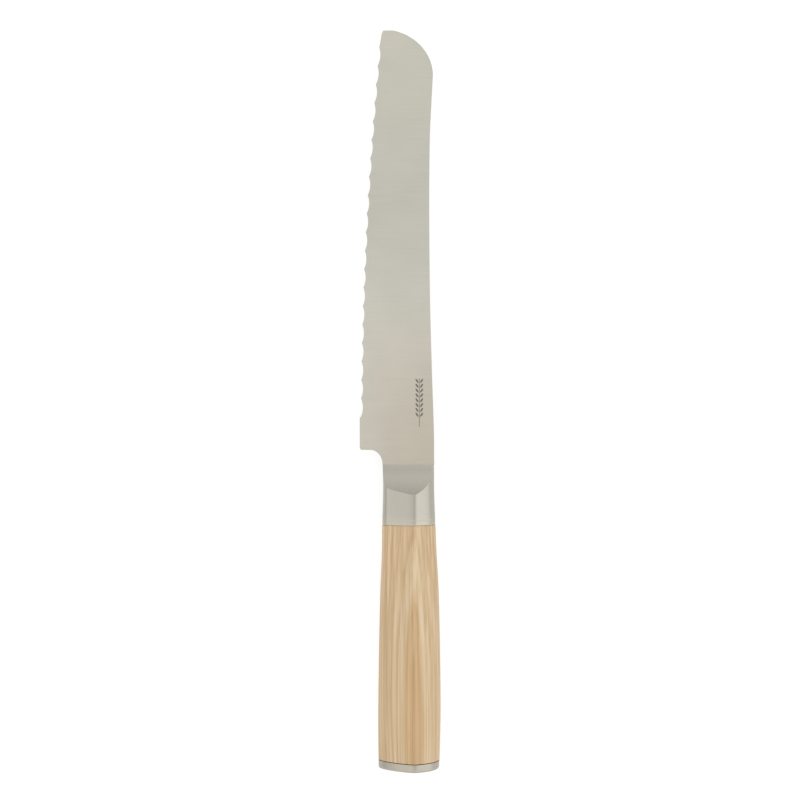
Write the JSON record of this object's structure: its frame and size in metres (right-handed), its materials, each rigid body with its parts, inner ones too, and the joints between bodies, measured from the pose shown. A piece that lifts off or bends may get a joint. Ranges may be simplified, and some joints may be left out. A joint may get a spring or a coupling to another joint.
{
  "type": "bread knife",
  "caption": "Serrated bread knife with a rounded tip, a plain heel, a ridged steel bolster, a pale wooden grip and a steel end cap.",
  "frame": {"origin": "middle of the knife's length and width, on the surface that it lies on", "axes": "+Y from the butt to the tip, +X from the cutting edge to the spine, +Z out of the blade's left face"},
  "size_m": [0.0368, 0.3362, 0.0218],
  "materials": {
    "blade_steel": "fine satin, ground across the blade",
    "bolster_steel": "satin, ground lengthwise",
    "cap_steel": "satin",
    "inner_steel": "as machined",
    "pale_wood": "sanded and oiled, grain lengthwise",
    "adhesive": "cured epoxy"
  },
  "bodies": {
    "root": {"blade": "blade_steel", "bolster": "bolster_steel", "wooden_grip": "pale_wood", "end_cap": "cap_steel", "tang": "inner_steel", "tang_epoxy": "adhesive", "tang_washer": "inner_steel", "tang_nut": "inner_steel", "cap_pin_belly": "inner_steel", "cap_pin_spine": "inner_steel"}
  },
  "joints": []
}
